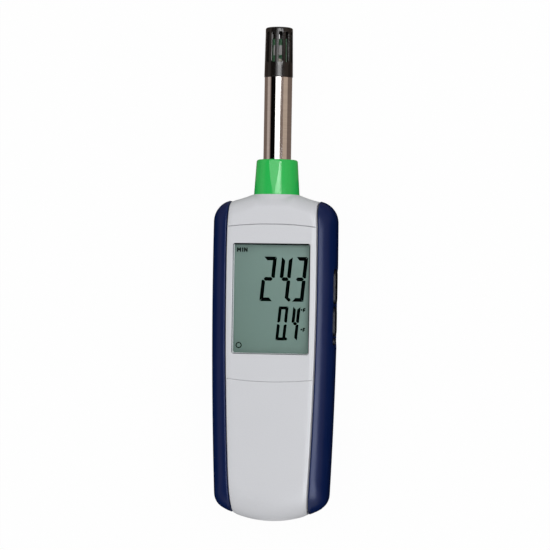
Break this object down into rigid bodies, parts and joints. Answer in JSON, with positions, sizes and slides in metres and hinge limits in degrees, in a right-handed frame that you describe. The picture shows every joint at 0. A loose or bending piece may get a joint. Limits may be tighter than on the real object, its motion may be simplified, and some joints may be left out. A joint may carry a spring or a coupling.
{
  "type": "thermo-hygrometer",
  "caption": "Handheld thermo-hygrometer: grey case with blue side grips, display window, side keys, green collar and a steel probe with a slotted sensor cap.",
  "frame": {"origin": "under the middle of the overall box, on the surface that the meter lies on", "axes": "+Z out of the display, +Y along the probe to its tip, +X to the side with the keys"},
  "size_m": [0.064, 0.253, 0.03],
  "materials": {
    "case_grey": "satin moulded ABS",
    "grip_navy": "satin soft-touch moulding",
    "collar_green": "gloss",
    "lens_clear": "clear",
    "lcd": "reflective display",
    "black_plastic": "satin",
    "zebra_rubber": "matte",
    "board_green": "solder mask",
    "board_parts": "moulded package",
    "bright_steel": "polished",
    "screw_steel": "zinc plated",
    "switch_metal": "stamped",
    "key_black": "satin",
    "cap_black": "satin",
    "sensor_silver": "satin",
    "ceramic": "matte",
    "wire_red": "satin",
    "connector_white": "satin",
    "battery_wrap": "satin"
  },
  "bodies": {
    "case": {"front_shell": "case_grey", "rear_shell": "case_grey", "left_grip": "grip_navy", "right_grip": "grip_navy", "display_bezel": "case_grey", "window_lens": "lens_clear", "lcd_glass": "lcd", "lcd_frame": "black_plastic", "zebra_strips": "zebra_rubber", "main_board": "board_green", "board_chips": "board_parts", "buzzer": "board_parts", "board_screws": "screw_steel", "key_board": "board_green", "key_switches": "switch_metal", "probe_collar": "collar_green", "probe_tube": "bright_steel", "tube_ring": "screw_steel", "sensor_carrier": "black_plastic", "sensor_board": "board_green", "humidity_sensor": "sensor_silver", "thermistor": "ceramic", "probe_leads": "wire_red", "lead_plug": "connector_white", "board_header": "connector_white", "battery": "battery_wrap", "battery_snap": "black_plastic", "battery_leads": "wire_red", "case_screws": "screw_steel"},
    "cap": {"sensor_cap": "cap_black"},
    "upper_key": {"upper_key": "key_black"},
    "lower_key": {"lower_key": "key_black"},
    "power_key": {"power_key": "key_black"},
    "door": {"battery_door": "case_grey"}
  },
  "joints": [
    {"name": "upper_key_press", "type": "slide", "parent": "case", "child": "upper_key", "axis": [-1, 0, 0], "range_m": [0, 0.0005], "stiffness_N_per_m": 800},
    {"name": "lower_key_press", "type": "slide", "parent": "case", "child": "lower_key", "axis": [-1, 0, 0], "range_m": [0, 0.0005], "stiffness_N_per_m": 800},
    {"name": "power_key_press", "type": "slide", "parent": "case", "child": "power_key", "axis": [-1, 0, 0], "range_m": [0, 0.0005], "stiffness_N_per_m": 800},
    {"name": "cap_pull", "type": "slide", "parent": "case", "child": "cap", "axis": [0, 1, 0], "range_m": [0, 0.03]},
    {"name": "door_slide", "type": "slide", "parent": "case", "child": "door", "axis": [0, -1, 0], "range_m": [0, 0.066]}
  ]
}
